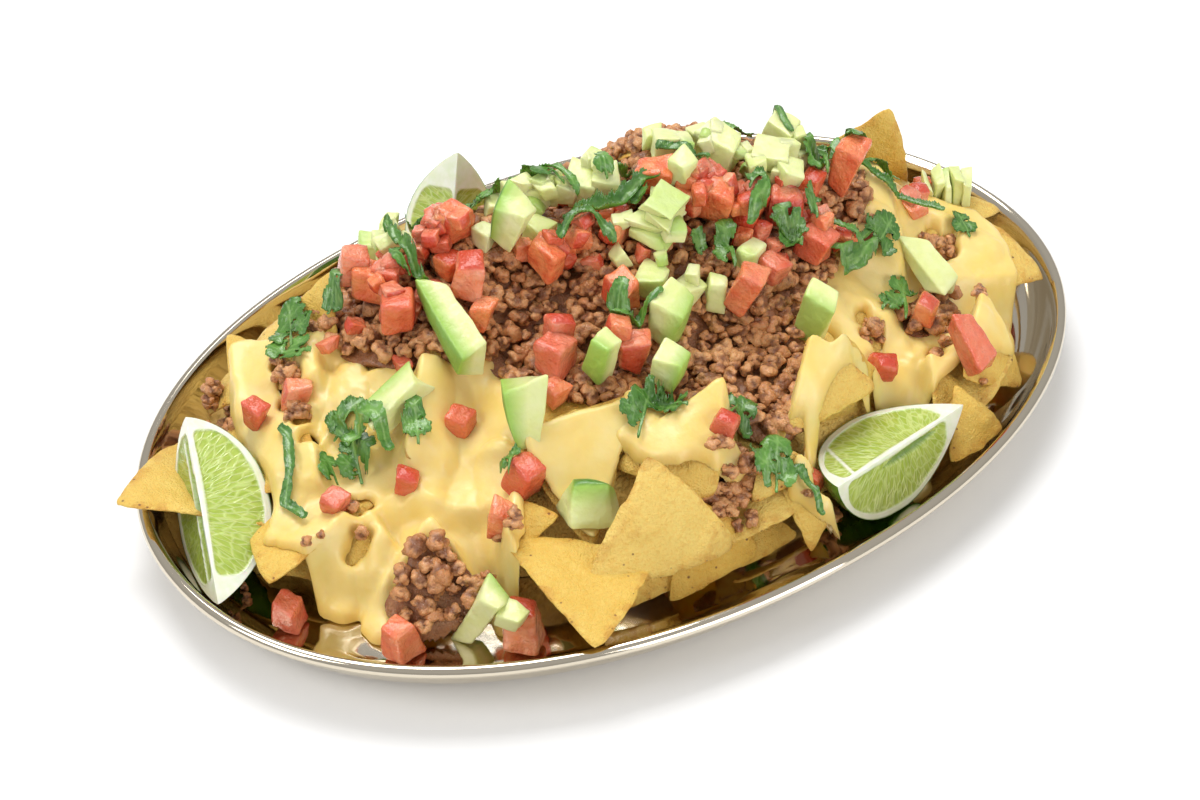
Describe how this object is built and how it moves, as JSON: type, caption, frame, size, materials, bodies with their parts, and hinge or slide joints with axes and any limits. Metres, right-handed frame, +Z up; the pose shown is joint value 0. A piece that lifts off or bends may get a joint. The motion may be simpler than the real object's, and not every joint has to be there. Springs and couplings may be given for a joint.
{
  "type": "loaded nachos platter",
  "caption": "Loaded nachos heaped on an oval metal platter: tortilla chips with ground beef, melted cheese, diced tomato and avocado, cilantro and lime wedges.",
  "frame": {"origin": "on the table under the middle of the oval platter", "axes": "+X along the platter's long axis, +Y across it to the back, +Z up"},
  "size_m": [0.3501, 0.2408, 0.094],
  "materials": {
    "platter": "polished stainless steel, mirror bright",
    "chips": "fried corn tortilla, matte with toasted specks",
    "beef": "moist browned mince",
    "cheese": "melted cheese, glossy",
    "lime": "wet lime pulp, white pith and green rind",
    "tomato": "wet cut tomato",
    "avocado": "soft cut avocado, greener at the skin side",
    "cilantro": "torn cilantro leaf"
  },
  "bodies": {
    "root": {"platter": "platter", "nacho_heap": "chips", "ground_beef": "beef", "cheese_left": "cheese", "cheese_centre": "cheese", "cheese_front_right": "cheese", "cheese_right": "cheese", "cheese_back": "cheese", "lime_left": "lime", "lime_right": "lime", "lime_back": "lime", "tomato_01": "tomato", "tomato_02": "tomato", "tomato_03": "tomato", "tomato_04": "tomato", "tomato_05": "tomato", "tomato_06": "tomato", "tomato_07": "tomato", "tomato_08": "tomato", "tomato_09": "tomato", "tomato_10": "tomato", "tomato_11": "tomato", "tomato_12": "tomato", "tomato_13": "tomato", "tomato_14": "tomato", "tomato_15": "tomato", "tomato_16": "tomato", "tomato_17": "tomato", "tomato_18": "tomato", "tomato_19": "tomato", "avocado_01": "avocado", "avocado_02": "avocado", "avocado_03": "avocado", "avocado_04": "avocado", "avocado_05": "avocado", "avocado_06": "avocado", "avocado_07": "avocado", "avocado_08": "avocado", "avocado_09": "avocado", "avocado_10": "avocado", "avocado_11": "avocado", "avocado_12": "avocado", "avocado_13": "avocado", "avocado_14": "avocado", "avocado_15": "avocado", "avocado_16": "avocado", "avocado_17": "avocado", "avocado_18": "avocado", "avocado_19": "avocado", "cilantro_01": "cilantro", "cilantro_02": "cilantro", "cilantro_03": "cilantro", "cilantro_04": "cilantro", "cilantro_05": "cilantro", "cilantro_06": "cilantro", "cilantro_07": "cilantro", "cilantro_08": "cilantro", "cilantro_09": "cilantro"}
  },
  "joints": []
}
